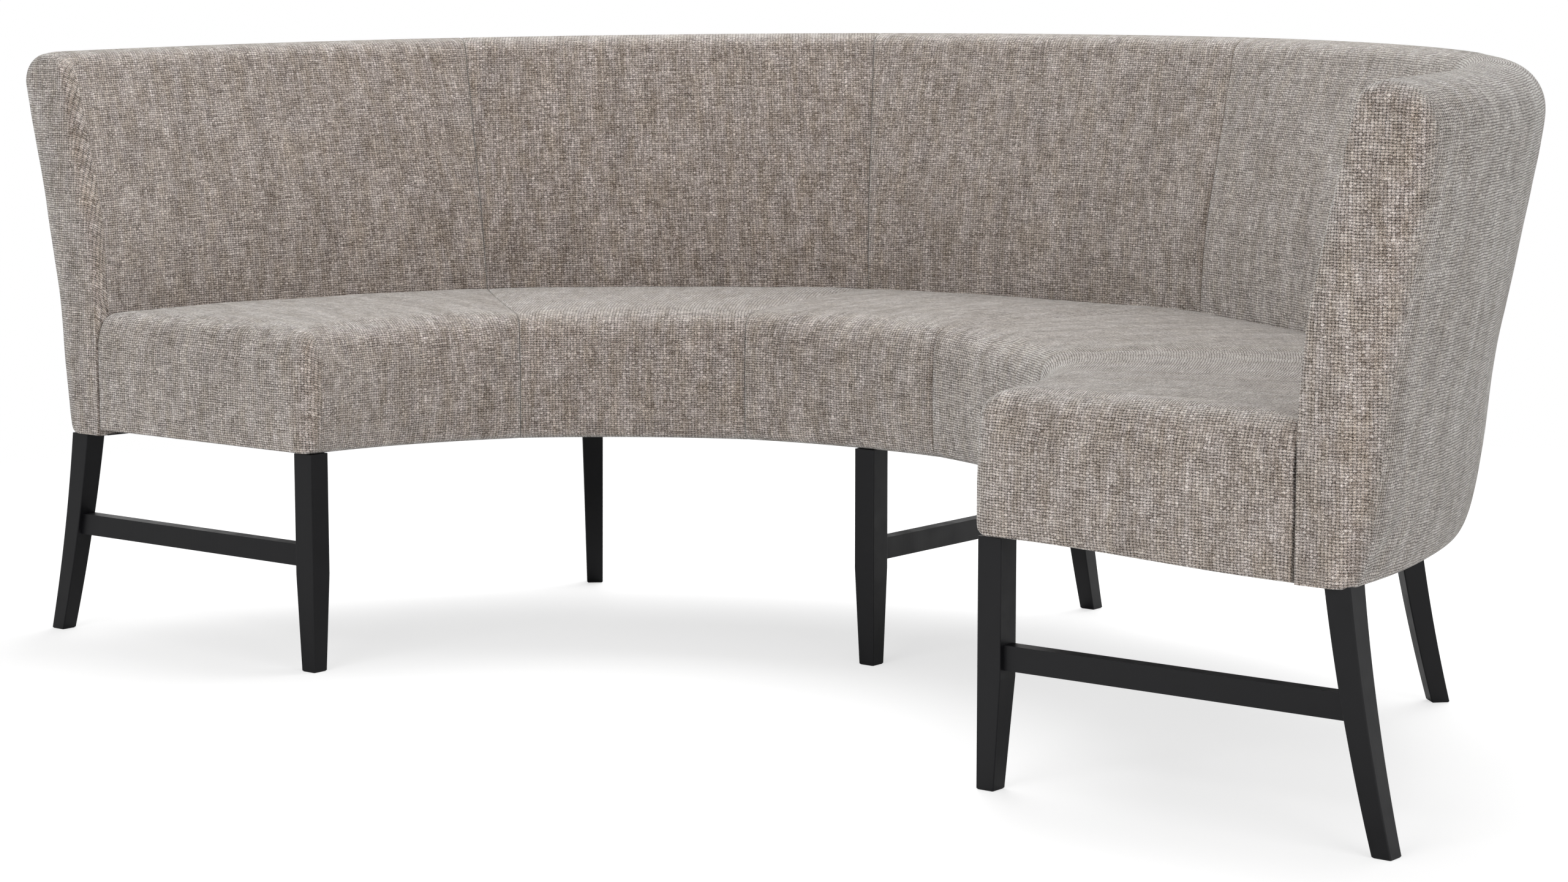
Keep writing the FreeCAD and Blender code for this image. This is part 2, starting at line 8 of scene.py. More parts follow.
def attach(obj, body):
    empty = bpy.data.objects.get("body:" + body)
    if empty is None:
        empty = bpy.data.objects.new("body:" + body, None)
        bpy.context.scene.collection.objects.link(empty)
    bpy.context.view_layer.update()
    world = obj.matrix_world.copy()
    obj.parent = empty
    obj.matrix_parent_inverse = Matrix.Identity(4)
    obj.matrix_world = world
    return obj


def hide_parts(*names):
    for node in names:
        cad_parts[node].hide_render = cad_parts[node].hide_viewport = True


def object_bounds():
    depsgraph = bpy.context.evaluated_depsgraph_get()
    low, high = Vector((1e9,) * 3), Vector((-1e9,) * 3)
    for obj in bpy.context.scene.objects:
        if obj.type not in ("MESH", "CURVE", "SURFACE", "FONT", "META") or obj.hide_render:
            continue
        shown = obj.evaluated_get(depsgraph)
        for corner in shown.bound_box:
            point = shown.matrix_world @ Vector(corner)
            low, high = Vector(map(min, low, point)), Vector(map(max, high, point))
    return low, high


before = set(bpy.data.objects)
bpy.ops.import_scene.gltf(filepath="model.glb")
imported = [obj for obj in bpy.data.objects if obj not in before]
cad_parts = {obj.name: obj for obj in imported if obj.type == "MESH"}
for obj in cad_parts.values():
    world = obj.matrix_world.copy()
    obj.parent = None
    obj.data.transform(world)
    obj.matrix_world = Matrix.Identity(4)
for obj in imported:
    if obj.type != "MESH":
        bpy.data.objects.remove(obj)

cad_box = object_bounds()

# The upholstered panels are drawn in millimetres on the bench's ring: a radius from the ring's
# centre, an angle from the middle of the back and a height. The ring's centre lies on the plane
# of the two end faces.
metre = 1000.0
end_plane = cad_box[0][1] * metre
end_angle = 90.0
seam_angles = [-51.75, -17.25, 17.25, 51.75]
panel_limits = list(zip([-end_angle] + seam_angles, seam_angles + [end_angle]))
facet_share = 0.25
front_radius_end = 549.0
front_radius_middle = 524.0
back_inner_radius = 979.2
back_outer_radius = 1068.0
back_puff = 3.0
seat_underside = 302.0
back_underside = 294.0
seat_height_end = 472.0
seat_arch = 9.0
back_height_end = 839.0
back_arch = 22.0

# Lean of the back's two faces: the angle, and the height and radius of the bend before it. The
# outer face also draws in below the foot's height.
inner_lean_angle = 13.5
inner_bend_start = 439.4
inner_bend_radius = 850.0
outer_lean_angle = 10.8
outer_bend_start = 342.0
outer_bend_radius = 1090.0
foot_height = 430.0
foot_ease = 1150.0

# Rounds, folds and hems of a section
seat_front_round = 30.0
seat_fold = 16.0
seat_corner_growth = 0.8
back_inner_round = 26.0
back_outer_round = 42.0
right_round_growth = 12.0
right_growth_angles = (10.0, 60.0)
back_fold = 18.0
fold_rise = 0.8
fold_lean = 12.0
smallest_round = 5.0
face_bulge = 2.0
hem = 4.0
hem_slope = 2.0
cloth_step = 1.65
panel_clearance = 1.0

# Softness of the panels: lengths from a seam or an end along which a panel draws in, and how far
# its inner side, its top and its outer side have then drawn in
seam_length = 4.0
seam_draw = (1.6, 1.4, 1.2)
seam_gap = 0.15
end_length = 24.0
seat_end_draw = (16.0, 30.0, 2.5)
back_end_draw = (7.0, 20.0, 28.0)
end_gap = 0.8
underside_share = 0.2
tighter_share = 0.45
back_low_share = 0.25
back_low_heights = (460.0, 540.0)
end_fullness = 7.0
fullness_angles = (66.0, 86.0)
fullness_heights = (460.0, 600.0)

# Where the sewn seams wander to, in degrees, and how far the hems sag at the right end
crease_height = 470.0
drift_at_crease = -0.6
drift_at_top = -1.6
drift_at_front = -3.3
seat_sag = 11.0
seat_sag_start = 600.0
back_sag = 4.0
back_sag_angles = (76.0, 90.0)
sag_height = 60.0
end_hem_angles = (88.0, 90.0)
outer_hem_radii = (1036.0, 1050.0)

# Fineness of the panels' mesh, and of each round in a section
seat_across = 48
seat_up = 20
back_across = 16
back_up = 60
face_step = 9.0
seat_step_share = 0.8
cap_smoothing = 60
seam_stations = 3
end_stations = 6
small_steps = 3
front_steps = 4
fold_steps = 4
big_steps = 5

# Blowing up as cloth: the steps, the farthest that a point may move and the cloth itself
cloth_frames = 20
cloth_reach = 0.004
cloth_settings = {"quality": 5, "mass": 0.3, "tension_stiffness": 15.0,
                  "compression_stiffness": 15.0, "shear_stiffness": 5.0, "bending_stiffness": 2.0,
                  "use_pressure": True, "uniform_pressure_force": 3.0, "vertex_group_mass": "held"}
pinned_rim = 5
pinned_below = 480.0

# Waviness of the fabric: heights in metres and lengths in millimetres
waves = ((0.0012, 111.1111), (0.0005, 38.4615))

# No two panels show the same stretch of the weave
panel_shift = 1.37
kind_shift = 0.29


def linear(colour):
    """sRGB hex to the linear colour that a shader takes."""
    parts = [int(colour[i:i + 2], 16) / 255 for i in (1, 3, 5)]
    return [p / 12.92 if p <= 0.04045 else ((p + 0.055) / 1.055) ** 2.4 for p in parts] + [1.0]


# Camera at the photograph's view
camera = bpy.data.objects.new("camera", bpy.data.cameras.new("camera"))
bpy.context.scene.collection.objects.link(camera)
camera.data.sensor_width = 36.0
camera.data.lens = 80.32
camera.data.clip_end = 50.0
camera.location = (2.8755, cad_box[0][1] - 3.2905, 0.9491)
camera.rotation_euler = (math.radians(90 - 7.577), 0, math.radians(38.336))
bpy.context.scene.camera = camera


# Shape of the ring
def arch(angle):
    """1 at the middle of the back and 0 at the two ends."""
    return max(0.0, math.cos(math.radians(angle)))


def flatten(panel, angle):
    """How far the softly faceted plan draws in towards a panel's middle."""
    low, high = panel_limits[panel]
    half = math.radians((high - low) / 2)
    off = math.radians(angle - (low + high) / 2)
    return 1 - facet_share * (1 - math.cos(half) / math.cos(off))


def smooth_share(value, low, high):
    """0 up to the low value, 1 from the high one, and a soft step between them."""
    share = min(1.0, max(0.0, (value - low) / (high - low)))
    return share * share * (3 - 2 * share)


def swell(panel, angle):
    """0 at a panel's two sides and 1 at its middle."""
    low, high = panel_limits[panel]
    return math.sin(math.pi * (angle - low) / (high - low))


def front_radius(panel, angle):
    radius = front_radius_end + (front_radius_middle - front_radius_end) * arch(angle) ** 2
    return radius * flatten(panel, angle)


def back_radius(panel, angle):
    return back_inner_radius * flatten(panel, angle) - back_puff * swell(panel, angle)


def leaning(z, angle, start, radius):
    """How far a face has moved out at a height: it is upright, then bent, then straight."""
    slope = math.radians(angle)
    end = start + radius * math.sin(slope)
    if z <= start:
        return 0.0
    if z <= end:
        return radius - math.sqrt(radius ** 2 - (z - start) ** 2)
    return radius * (1 - math.cos(slope)) + (z - end) * math.tan(slope)


def inner_lean(z):
    return leaning(z, inner_lean_angle, inner_bend_start, inner_bend_radius)


def outer_lean(z):
    drawn = max(0.0, foot_height - z) ** 2 / foot_ease
    return leaning(z, outer_lean_angle, outer_bend_start, outer_bend_radius) - drawn


# Sections, each as four rows of points from corner to corner
def even(low, high, count):
    """Evenly spaced values with a number of steps between them."""
    return [low + (high - low) * i / count for i in range(count + 1)]


def line(start, end, count, bulge=0.0):
    """Straight row of points, or one that bulges to its left."""
    run = (end[0] - start[0], end[1] - start[1])
    length = math.hypot(*run)
    points = []
    for share in even(0.0, 1.0, count):
        out = bulge * 4 * share * (1 - share)
        points.append((start[0] + run[0] * share - out * run[1] / length,
                       start[1] + run[1] * share + out * run[0] / length))
    return points


def arc(centre, radius, start, end, count):
    turns = [math.radians(turn) for turn in even(start, end, count)]
    return [(centre[0] + radius * math.cos(t), centre[1] + radius * math.sin(t)) for t in turns]


def row(*parts):
    """Joins rows that each start where the one before ends."""
    points = list(parts[0])
    for part in parts[1:]:
        points += part[1:]
    return points


def tighter(size, one, other):
    """A round's radius where both of its sides have drawn in."""
    return max(smallest_round, size - (one + other) * tighter_share)


def seat_section(panel, angle, draw, step):
    """Bottom, front, top and rear rows of a seat panel, drawn in at its ends."""
    inward, down, outward = draw
    front = front_radius(panel, angle) + inward
    rear = back_radius(panel, angle) - panel_clearance - outward
    top = seat_height_end + seat_arch * arch(angle) - down
    bottom = seat_underside + inward * underside_share
    low_fold = tighter(seat_fold, inward * underside_share, inward)
    fold = tighter(seat_fold + down * seat_corner_growth, down, outward)
    big = tighter(seat_front_round, inward, down)
    low_centre = (front + low_fold, bottom + low_fold)
    front_centre = (front + big, top - big)
    rear_centre = (rear - fold, top - fold)
    edge = front + low_fold + hem
    bottom_row = row(arc(low_centre, low_fold, 225, 270, small_steps),
                     line((front + low_fold, bottom), (edge, bottom), 1),
                     line((edge, bottom), (edge + hem_slope, bottom + step), 1),
                     line((edge + hem_slope, bottom + step), (rear, bottom + step),
                          seat_across - small_steps - 2))
    front_row = row(arc(low_centre, low_fold, 225, 180, small_steps),
                    line((front, bottom + low_fold), (front, top - big),
                         seat_up - small_steps - front_steps, face_bulge),
                    arc(front_centre, big, 180, 135, front_steps))
    top_row = row(arc(front_centre, big, 135, 90, front_steps),
                  line((front + big, top), (rear - fold, top),
                       seat_across - front_steps - small_steps, face_bulge),
                  arc(rear_centre, fold, 90, 45, small_steps))
    rear_row = row(line((rear, bottom + step), (rear, top - fold), seat_up - small_steps),
                   arc(rear_centre, fold, 0, 45, small_steps))
    return bottom_row, front_row, top_row, rear_row


def back_section(panel, angle, draw, step):
    """Bottom, inner, top and outer rows of a back panel, drawn in at its ends."""
    inward, down, outward = draw
    inner = back_radius(panel, angle)
    outer = back_outer_radius - outward
    top = back_height_end + back_arch * arch(angle) - down
    bottom = back_underside + inward * underside_share
    fold = tighter(back_fold, inward * underside_share, outward)
    small = tighter(back_inner_round, inward, down)
    growth = right_round_growth * smooth_share(angle, *right_growth_angles)
    big = tighter(back_outer_round + growth, down, outward)
    full = end_fullness * smooth_share(abs(angle), *fullness_angles)
    inner_z, outer_z = top - small, top - big
    inner_slant = math.cos(math.radians(inner_lean_angle))
    outer_slant = math.cos(math.radians(outer_lean_angle))
    small_centre = (inner + inward + inner_lean(inner_z) - full + small / inner_slant, inner_z)
    big_centre = (outer + outer_lean(outer_z) - big / outer_slant, outer_z)
    fold_centre = (outer + outer_lean(bottom + fold * fold_rise) - fold, bottom + fold)
    inner_turn = 180 - inner_lean_angle
    inner_corner = (inner_turn + 90) / 2
    outer_corner = (90 - outer_lean_angle) / 2
    foot = inner + inward * back_low_share
    edge = fold_centre[0] - hem
    bottom_row = row(line((foot, bottom + step), (edge - hem_slope, bottom + step),
                          back_across - fold_steps - 2),
                     line((edge - hem_slope, bottom + step), (edge, bottom), 1),
                     line((edge, bottom), (fold_centre[0], bottom), 1),
                     arc(fold_centre, fold, 270, 315, fold_steps))
    high = inner_z + small * math.sin(math.radians(inner_turn))
    heights = even(bottom + step, high, back_up - small_steps)
    drawn = [inward * (back_low_share + (1 - back_low_share) * smooth_share(z, *back_low_heights))
             for z in heights]
    inner_row = row([(inner + d + inner_lean(z) - full * smooth_share(z, *fullness_heights), z)
                     for d, z in zip(drawn, heights)],
                    arc(small_centre, small, inner_turn, inner_corner, small_steps))
    low = bottom + fold * (1 - math.sin(math.radians(fold_lean)))
    high = outer_z - big * math.sin(math.radians(outer_lean_angle))
    heights = even(low, high, back_up - fold_steps - big_steps)
    outer_row = row(arc(fold_centre, fold, 315, 360 - fold_lean, fold_steps),
                    [(outer + outer_lean(z), z) for z in heights],
                    arc(big_centre, big, -outer_lean_angle, outer_corner, big_steps))
    top_row = row(arc(small_centre, small, inner_corner, 90, small_steps),
                  line((small_centre[0], top), (big_centre[0], top),
                       back_across - small_steps - big_steps, face_bulge),
                  arc(big_centre, big, 90, outer_corner, big_steps))
    return bottom_row, inner_row, top_row, outer_row


def places(panel, steps, end_draw):
    """Stations along a panel: the side, or 0 between the sides, the distance from the side or the
    share of the way, how far each side has drawn in and how far round the edge the station is."""
    rings = {}
    for side, angle in zip((-1, 1), panel_limits[panel]):
        if abs(angle) >= end_angle:
            count, size, draw, gap = end_stations, end_length, end_draw, end_gap
        else:
            count, size, draw, gap = seam_stations, seam_length, seam_draw, seam_gap
        rings[side] = []
        for m in range(1, count + 1):
            turn = math.radians(90 * m / count)
            drawn = [amount * (1 - math.cos(turn)) for amount in draw]
            rings[side].append((side, size - (size - gap) * math.sin(turn), drawn, size * turn))
    tube = [(0, share, (0.0, 0.0, 0.0), 0.0) for share in even(0.0, 1.0, steps)]
    return rings[-1][::-1] + tube + rings[1]


def seat_drift(radius, z):
    reach = (back_inner_radius - radius) / (back_inner_radius - front_radius_end)
    return drift_at_crease + (drift_at_front - drift_at_crease) * reach


def back_drift(radius, z):
    rise = max(0.0, z - crease_height) / (back_height_end - crease_height)
    return drift_at_crease + (drift_at_top - drift_at_crease) * rise


def seat_droop(turn, radius, z):
    near = smooth_share(turn, *end_hem_angles)
    near *= smooth_share(radius, seat_sag_start, back_inner_radius)
    return seat_sag * near * (1 - smooth_share(z, seat_underside, seat_underside + sag_height))


def back_droop(turn, radius, z):
    at_hem = max(smooth_share(turn, *end_hem_angles), smooth_share(radius, *outer_hem_radii))
    near = smooth_share(turn, *back_sag_angles) * at_hem
    return back_sag * near * (1 - smooth_share(z, back_underside, back_underside + sag_height))


def place(panel, station, radius, z, drift, droop):
    """A section's point in the bench's own place: along the ring, at its seam or at its end."""
    low, high = panel_limits[panel]
    side, distance = station[:2]
    step_back = 0.0
    if side == 0:
        seam_turn = math.degrees(seam_length / radius)
        start = low if low <= -end_angle else low + seam_turn
        stop = high if high >= end_angle else high - seam_turn
        turn = start + (stop - start) * distance
        if low <= -end_angle:
            step_back = end_length * (1 - distance) ** 2
        if high >= end_angle:
            step_back = end_length * distance ** 2
    else:
        turn = low if side < 0 else high
        if abs(turn) >= end_angle:
            step_back = distance
        else:
            turn -= side * math.degrees(distance / radius)
    z -= droop(turn, radius, z)
    turn += drift(radius, z) * min(1.0, (end_angle - abs(turn)) / (end_angle - seam_angles[-1]))
    turn = math.radians(turn)
    x, y = radius * math.sin(turn), radius * math.cos(turn) + step_back
    return Vector((x, y + end_plane, z)) / metre


def fill(rows, i, k, across, up):
    """Point of a section inside its four rows."""
    bottom, left, top, right = rows
    u, v = i / across, k / up
    if k == 0:
        return bottom[i]
    if k == up:
        return top[i]
    if i == 0:
        return left[k]
    if i == across:
        return right[k]
    point = []
    for axis in (0, 1):
        value = (1 - v) * bottom[i][axis] + v * top[i][axis]
        value += (1 - u) * left[k][axis] + u * right[k][axis]
        value -= (1 - u) * (1 - v) * bottom[0][axis] + u * (1 - v) * bottom[across][axis]
        value -= (1 - u) * v * top[0][axis] + u * v * top[across][axis]
        point.append(value)
    return tuple(point)


def cut_along(mesh, axis, cuts):
    """Divides every edge that runs along one axis."""
    edges = [e for e in mesh.edges if abs((e.verts[0].co - e.verts[1].co)[axis]) > 1e-6]
    bmesh.ops.subdivide_edges(mesh, edges=edges, cuts=cuts, use_grid_fill=True)


def row_lengths(points):
    lengths = [0.0]
    for before, point in zip(points, points[1:]):
        lengths.append(lengths[-1] + math.dist(before, point))
    return lengths


def ring_spot(co):
    """Radius and height of a placed point, in millimetres."""
    return math.hypot(co.x * metre, co.y * metre - end_plane), co.z * metre


def spread_over_end(at, flat, cap, edge):
    """Weave coordinates that run on from an end face over its rounded edge, in millimetres."""
    step = 1 if edge > cap else -1
    spread = {}
    for (i, j, k), v in at.items():
        if not min(cap, edge) <= j <= max(cap, edge):
            continue
        base = at[i, cap, k]
        spot = ring_spot(base.co)
        if j != cap:
            stops = [at[i, n, k].co for n in range(cap, j + step, step)]
            run = metre * sum(math.dist(a, b) for a, b in zip(stops, stops[1:]))
            out = [a - b for a, b in zip(flat[at[i, edge, k]], flat[base])]
            spot = tuple(c + run * o / math.hypot(*out) for c, o in zip(spot, out))
        spread[v] = spot
    return spread


def upholstered(name, panel, section, end_draw, across, up, steps, drift, droop, joint, held):
    """A closed, divided block that is shaped to one upholstered panel. Its lower corner at the
    joint between seat and back stays sharp."""
    stations = places(panel, steps, end_draw)
    along = len(stations) - 1
    low, high = panel_limits[panel]
    mesh = bmesh.new()
    bmesh.ops.create_cube(mesh, size=1.0)
    for axis, count in ((0, across), (1, along), (2, up)):
        cut_along(mesh, axis, count - 1)
    weave = mesh.loops.layers.uv.new("weave")
    rows = []
    for side, distance, draw, _ in stations:
        angle = low + (high - low) * distance if side == 0 else (low if side < 0 else high)
        step = 0.0 if side and abs(angle) >= end_angle else cloth_step
        rows.append(section(panel, angle, draw, step))
    index, flat, pins = {}, {}, []
    mesh.verts.index_update()
    for v in mesh.verts:
        i, j, k = (round((v.co[axis] + 0.5) * count)
                   for axis, count in enumerate((across, along, up)))
        index[v] = (i, j, k)
        flat[v] = fill(rows[j], i, k, across, up)
        v.co = place(panel, stations[j], *flat[v], drift, droop)
        side = stations[j][0]
        at_seam = (side < 0 and low > -end_angle) or (side > 0 and high < end_angle)
        if at_seam or held(i, k, flat[v][1]):
            pins.append(v.index)
    inside = [v for v, (i, j, k) in index.items()
              if j in (0, along) and 0 < i < across and 0 < k < up]
    for _ in range(cap_smoothing):
        bmesh.ops.smooth_vert(mesh, verts=inside, factor=0.5, use_axis_x=True, use_axis_y=True,
                              use_axis_z=True)
    crease = mesh.edges.layers.float.new("crease_edge")
    for edge in mesh.edges:
        if all(index[v][0] == joint and index[v][2] == 0 for v in edge.verts):
            edge[crease] = 1.0
    at = {spot: v for v, spot in index.items()}
    spread = {}
    if low <= -end_angle:
        spread = spread_over_end(at, flat, 0, end_stations)
    if high >= end_angle:
        spread = spread_over_end(at, flat, along, along - end_stations)
    # The weave runs on in millimetres along the ring and round the section
    lengths = [row_lengths(points) for points in rows[along // 2]]
    front_length = lengths[1][-1]
    round_length = front_length + lengths[2][-1] + lengths[3][-1]
    for face in mesh.faces:
        face.smooth = True
        spots = [index[v] for v in face.verts]
        on_cap = all(s[1] == 0 for s in spots) or all(s[1] == along for s in spots)
        on_bottom = all(s[2] == 0 for s in spots)
        on_top = all(s[2] == up for s in spots)
        on_front = all(s[0] == 0 for s in spots)
        on_end = all(v in spread for v in face.verts)
        for loop in face.loops:
            i, j, k = index[loop.vert]
            side, distance, _, round_edge = stations[j]
            share = distance if side == 0 else max(0, side)
            turn = math.radians((high - low) * (share - 0.5))
            u = flat[loop.vert][0] * turn + side * round_edge
            v = round_length - lengths[3][k]
            if on_end:
                u, v = spread[loop.vert]
            elif on_cap:
                u, v = ring_spot(loop.vert.co)
            elif on_front:
                v = lengths[1][k]
            elif on_top:
                v = front_length + lengths[2][i]
            elif on_bottom:
                v = -lengths[0][i]
            loop[weave].uv = (u / metre + panel * panel_shift, v / metre + across * kind_shift)
    bmesh.ops.recalc_face_normals(mesh, faces=mesh.faces)
    data = bpy.data.meshes.new(name)
    mesh.to_mesh(data)
    mesh.free()
    piece = bpy.data.objects.new(name, data)
    bpy.context.scene.collection.objects.link(piece)
    piece.vertex_groups.new(name="held").add(pins, 1.0, "REPLACE")
    return piece


def puff_up(pieces):
    """Blows the padded panels up as cloth that is held at its seams, and limits each move."""
    scene = bpy.context.scene
    for piece in pieces:
        cloth = piece.modifiers.new("cloth", "CLOTH")
        for key, value in cloth_settings.items():
            setattr(cloth.settings, key, value)
        cloth.settings.effector_weights.gravity = 0.0
        cloth.collision_settings.use_collision = False
    for number in range(1, cloth_frames + 1):
        scene.frame_set(number)
    graph = bpy.context.evaluated_depsgraph_get()
    blown = [[v.co.copy() for v in piece.evaluated_get(graph).data.vertices] for piece in pieces]
    for piece, ends in zip(pieces, blown):
        piece.modifiers.clear()
        for v, end in zip(piece.data.vertices, ends):
            step = end - v.co
            if step.length > 1e-7:
                v.co += step * (cloth_reach * math.tanh(step.length / cloth_reach) / step.length)
    scene.frame_set(1)


def unevenness(piece):
    """The slight waviness of fabric that was pulled over foam by hand."""
    held = piece.vertex_groups["held"].index
    moves = []
    for v in piece.data.vertices:
        firm = any(group.group == held for group in v.groups)
        wave = sum(height * noise.noise(v.co * (metre / length)) for height, length in waves)
        moves.append(v.normal * (0.0 if firm else wave))
    for v, move in zip(piece.data.vertices, moves):
        v.co += move


# Materials. A pattern's scale is a metre over the size of its features in millimetres.
def node(tree, kind, settings=None, links=None, values=None):
    """Adds one node with its settings, its links and its unlinked values."""
    made = tree.nodes.new(kind)
    for key, value in (settings or {}).items():
        setattr(made, key, value)
    for key, value in (values or {}).items():
        made.inputs[key].default_value = value
    for key, source in (links or {}).items():
        tree.links.new(source, made.inputs[key])
    return made


def material(name):
    made = bpy.data.materials.new(name)
    made.use_nodes = True
    made.node_tree.nodes.clear()
    return made, made.node_tree


def chenille_plain_weave():
    """Polyester chenille in a coarse plain weave: each yarn is spun from pale, mauve grey and olive
    fibres. Close by, short pale flecks stand out, partly pale fibres and partly painted glints of
    sheen, and dark gaps, which are painted shade in the holes and along the yarns' sides; soft
    streaks show from further off, and a pale bloom on every surface seen at a slant."""
    made, tree = material("chenille_plain_weave")
    warp_pitch = 4.5
    weft_pitch = 3.25
    uv = node(tree, "ShaderNodeUVMap", {"uv_map": "weave"}).outputs[0]
    # The yarns wander by up to 1.5 mm every 20 mm or so
    wobble = node(tree, "ShaderNodeTexNoise", {"noise_dimensions": "2D"}, {"Vector": uv},
                  {"Scale": metre / 20, "Detail": 2.0})
    wobble = node(tree, "ShaderNodeVectorMath", {"operation": "SUBTRACT"},
                  {0: wobble.outputs["Color"]}, {1: (0.5, 0.5, 0.5)}).outputs[0]
    wobble = node(tree, "ShaderNodeVectorMath", {"operation": "SCALE"}, {0: wobble},
                  {"Scale": 3 / metre}).outputs[0]
    threads = node(tree, "ShaderNodeVectorMath", {"operation": "ADD"},
                   {0: uv, 1: wobble}).outputs[0]
    threads = node(tree, "ShaderNodeVectorMath", {"operation": "MULTIPLY"}, {0: threads},
                   {1: (metre / warp_pitch, metre / weft_pitch, 0.0)}).outputs[0]
    cell = node(tree, "ShaderNodeVectorMath", {"operation": "FLOOR"}, {0: threads}).outputs[0]
    spot = node(tree, "ShaderNodeVectorMath", {"operation": "FRACTION"}, {0: threads}).outputs[0]
    chance = node(tree, "ShaderNodeTexWhiteNoise", {"noise_dimensions": "2D"},
                  {"Vector": cell}).outputs[0]
    cell_u, cell_v = node(tree, "ShaderNodeSeparateXYZ", None, {0: cell}).outputs[:2]
    spot_u, spot_v = node(tree, "ShaderNodeSeparateXYZ", None, {0: spot}).outputs[:2]
    run_u, run_v = node(tree, "ShaderNodeSeparateXYZ", None, {0: threads}).outputs[:2]

    warp_on_top = node(tree, "ShaderNodeMath", {"operation": "ADD"},
                       {0: cell_u, 1: cell_v}).outputs[0]
    warp_on_top = node(tree, "ShaderNodeMath", {"operation": "FLOORED_MODULO"},
                       {0: warp_on_top}, {1: 2.0}).outputs[0]

    def pick(weft, warp):
        """The weft's value where the weft lies on top, or else the warp's."""
        return node(tree, "ShaderNodeMix", {"data_type": "FLOAT"},
                    {0: warp_on_top, 2: weft, 3: warp}).outputs[0]

    def streaks(u, v, often, detail):
        """Clouds that are drawn out along a yarn, by how often they change in a yarn's width."""
        at = node(tree, "ShaderNodeCombineXYZ", None, {0: u, 1: v}).outputs[0]
        at = node(tree, "ShaderNodeVectorMath", {"operation": "MULTIPLY"}, {0: at},
                  {1: (*often, 0.0)}).outputs[0]
        return node(tree, "ShaderNodeTexNoise", {"noise_dimensions": "2D"}, {"Vector": at},
                    {"Scale": 1.0, "Detail": detail, "Roughness": 0.6}).outputs[0]

    # Slubs run for some 28 mm along a single yarn. Fibres are finer than a yarn, so they are drawn
    # at 0.5 by 2 mm to show.
    slub = pick(streaks(run_u, cell_v, (0.16, 7.7), 3.0), streaks(cell_u, run_v, (7.3, 0.12), 3.0))
    fibre = pick(streaks(run_u, run_v, (2.4, 6.4), 3.0), streaks(run_u, run_v, (7.4, 2.0), 3.0))
    tone_and_glint = node(tree, "ShaderNodeMath", {"operation": "MULTIPLY_ADD"},
                {0: fibre, 2: slub}, {1: 2.7}).outputs[0]
    tone_and_glint = node(tree, "ShaderNodeMath", {"operation": "MULTIPLY_ADD"},
                {0: chance, 2: tone_and_glint}, {1: 0.14}).outputs[0]
    tone_and_glint = node(tree, "ShaderNodeMath", {"operation": "SUBTRACT"}, {0: tone_and_glint}, {1: 1.46}).outputs[0]

    def beside(spot_along, loose):
        """0 in the middle of a yarn and more at its sides, most of all where it lies loose."""
        for operation, amount in (("SUBTRACT", 0.5), ("ABSOLUTE", 0.0), ("MULTIPLY", 2.0),
                                  ("POWER", 3.0), ("MULTIPLY", 2.0)):
            spot_along = node(tree, "ShaderNodeMath", {"operation": operation},
                              {0: spot_along}, {1: amount}).outputs[0]
        return node(tree, "ShaderNodeMath", {"operation": "MULTIPLY"},
                    {0: spot_along, 1: loose}).outputs[0]

    # Each yarn is round and dips under the next, with small holes between the crossings. How
    # loose it lies changes slowly along it. The shares are of the weft's sides, of the warp's sides
    # and of the hole, first for the weft on top and then for the warp. The height gives the relief,
    # and further down also the painted shade in the holes and along the yarns' sides.
    beside_warp = beside(spot_u, streaks(cell_u, run_v, (5.3, 0.14), 2.0))
    beside_weft = beside(spot_v, streaks(run_u, cell_v, (0.14, 5.9), 2.0))
    hole = node(tree, "ShaderNodeMath", {"operation": "MULTIPLY"},
                {0: beside_weft, 1: beside_warp}).outputs[0]
    sides = node(tree, "ShaderNodeCombineXYZ", None,
                 {0: beside_weft, 1: beside_warp, 2: hole}).outputs[0]
    dip = pick(*[node(tree, "ShaderNodeVectorMath", {"operation": "DOT_PRODUCT"}, {0: sides},
                      {1: shares}).outputs["Value"]
                 for shares in ((0.85, 0.3, 0.4), (0.65, 0.6, 0.4))])
    height = node(tree, "ShaderNodeMath", {"operation": "SUBTRACT"}, {1: dip}, {0: 1.0}).outputs[0]

    # The two palest stops paint the palest flecks: partly pale fibres and partly painted glints of
    # sheen on the fibres
    ramp = node(tree, "ShaderNodeValToRGB", None, {0: tone_and_glint})
    stops = ((0.05, "#5c5049"), (0.3, "#8f837b"), (0.5, "#b0a49c"), (0.7, "#d8cdc7"),
             (0.9, "#f7eeea"))
    ramp.color_ramp.elements[0].position = stops[0][0]
    ramp.color_ramp.elements[0].color = linear(stops[0][1])
    ramp.color_ramp.elements[1].position = stops[-1][0]
    ramp.color_ramp.elements[1].color = linear(stops[-1][1])
    for position, colour in stops[1:-1]:
        ramp.color_ramp.elements.new(position).color = linear(colour)

    def patches(across, along, detail, roughness, low, high, least, most):
        """Cloudy patches of a size in millimetres, from the least strength to the most."""
        at = node(tree, "ShaderNodeMapping", None, {0: uv},
                  {"Scale": (metre / across, metre / along, 1.0)}).outputs[0]
        cloud = node(tree, "ShaderNodeTexNoise", {"noise_dimensions": "2D"}, {"Vector": at},
                     {"Scale": 1.0, "Detail": detail, "Roughness": roughness}).outputs[0]
        return node(tree, "ShaderNodeMapRange", None, {0: cloud},
                    {1: low, 2: high, 3: least, 4: most}).outputs[0]

